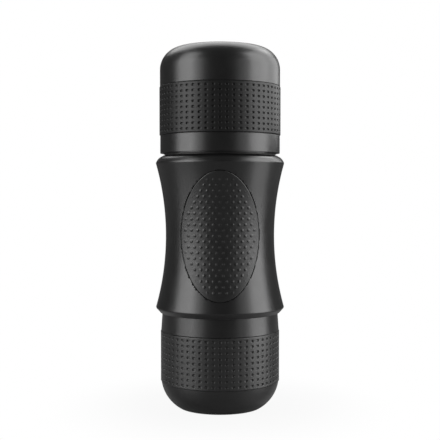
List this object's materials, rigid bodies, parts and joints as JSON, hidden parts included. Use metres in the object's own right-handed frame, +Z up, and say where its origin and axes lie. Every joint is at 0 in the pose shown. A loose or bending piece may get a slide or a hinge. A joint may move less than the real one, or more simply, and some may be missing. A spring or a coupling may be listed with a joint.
{
  "type": "handheld manual espresso maker",
  "caption": "Waisted cylindrical hand-pumped espresso maker: screw-on water tank, angled push piston, outlet head with filter basket, and a cup that closes it and stands it up.",
  "frame": {"origin": "centre of the flat foot of the cup, which the closed maker stands on", "axes": "+Z up along the main axis from the cup to the water tank; -Y is the front, with the grip pad; the pump's sleeve and piston rise towards +Y"},
  "size_m": [0.062, 0.085, 0.175],
  "materials": {
    "casing_plastic": "satin charcoal black, finely textured",
    "grip_plastic": "satin charcoal black with a grid of small pits",
    "head_plastic": "smooth satin charcoal black",
    "pad_rubber": "soft black rubber with rows of small bumps",
    "polished_plastic": "polished black",
    "knob_plastic": "satin black",
    "inner_plastic": "plain black",
    "silicone": "black silicone",
    "clear_silicone": "milky silicone",
    "steel": "plain stainless steel"
  },
  "bodies": {
    "cup": {"cup_shell": "casing_plastic", "cup_grip_band": "grip_plastic"},
    "head": {"outlet_head": "head_plastic", "outlet_nozzle": "inner_plastic"},
    "basket": {"filter_basket": "steel", "basket_screen": "steel"},
    "group_seal": {"group_gasket": "silicone"},
    "casing": {"body_shell": "casing_plastic", "grip_pad": "pad_rubber", "group_head": "polished_plastic", "collar_o_ring": "silicone", "shower_screen": "steel", "screen_screw": "steel", "valve_block": "inner_plastic", "block_screws": "steel", "outlet_valve": "clear_silicone", "inlet_tube": "clear_silicone", "inlet_valve": "clear_silicone", "vent_valve": "clear_silicone", "tank_spigot": "inner_plastic", "spigot_screws": "steel", "pump_cylinder": "inner_plastic", "piston_spring": "steel", "pump_sleeve": "casing_plastic", "stem_guide": "inner_plastic"},
    "plunger": {"plunger_rod": "steel", "plunger_seal": "silicone"},
    "piston": {"piston_stem": "polished_plastic", "piston_knob": "knob_plastic"},
    "tank_seal": {"tank_gasket": "silicone"},
    "tank": {"tank_shell": "casing_plastic", "tank_grip_band": "grip_plastic"}
  },
  "joints": [
    {"name": "lift_off_cup", "type": "slide", "parent": "cup", "child": "head", "axis": [0, 0, 1], "range_m": [0, 0.06]},
    {"name": "basket_lift", "type": "slide", "parent": "head", "child": "basket", "axis": [0, 0, 1], "range_m": [0, 0.025]},
    {"name": "head_unscrew", "type": "hinge", "parent": "basket", "child": "group_seal", "pos_m": [0, 0, 0.0497], "axis": [0, 0, 1], "range_deg": [0, 450]},
    {"name": "group_lift", "type": "slide", "parent": "group_seal", "child": "casing", "axis": [0, 0, 1], "range_m": [0, 0.03]},
    {"name": "piston_stroke", "type": "slide", "parent": "casing", "child": "plunger", "axis": [0, 0.866, 0.5], "range_m": [0, 0.03], "deforming": ["piston_spring"]},
    {"name": "piston_lock", "type": "hinge", "parent": "plunger", "child": "piston", "pos_m": [0, 0.04469, 0.1041], "axis": [0, 0.866, 0.5], "range_deg": [0, 90]},
    {"name": "tank_unscrew", "type": "hinge", "parent": "casing", "child": "tank_seal", "pos_m": [0, 0, 0.122], "axis": [0, 0, 1], "range_deg": [0, 540]},
    {"name": "tank_lift", "type": "slide", "parent": "tank_seal", "child": "tank", "axis": [0, 0, 1], "range_m": [0, 0.045]}
  ]
}
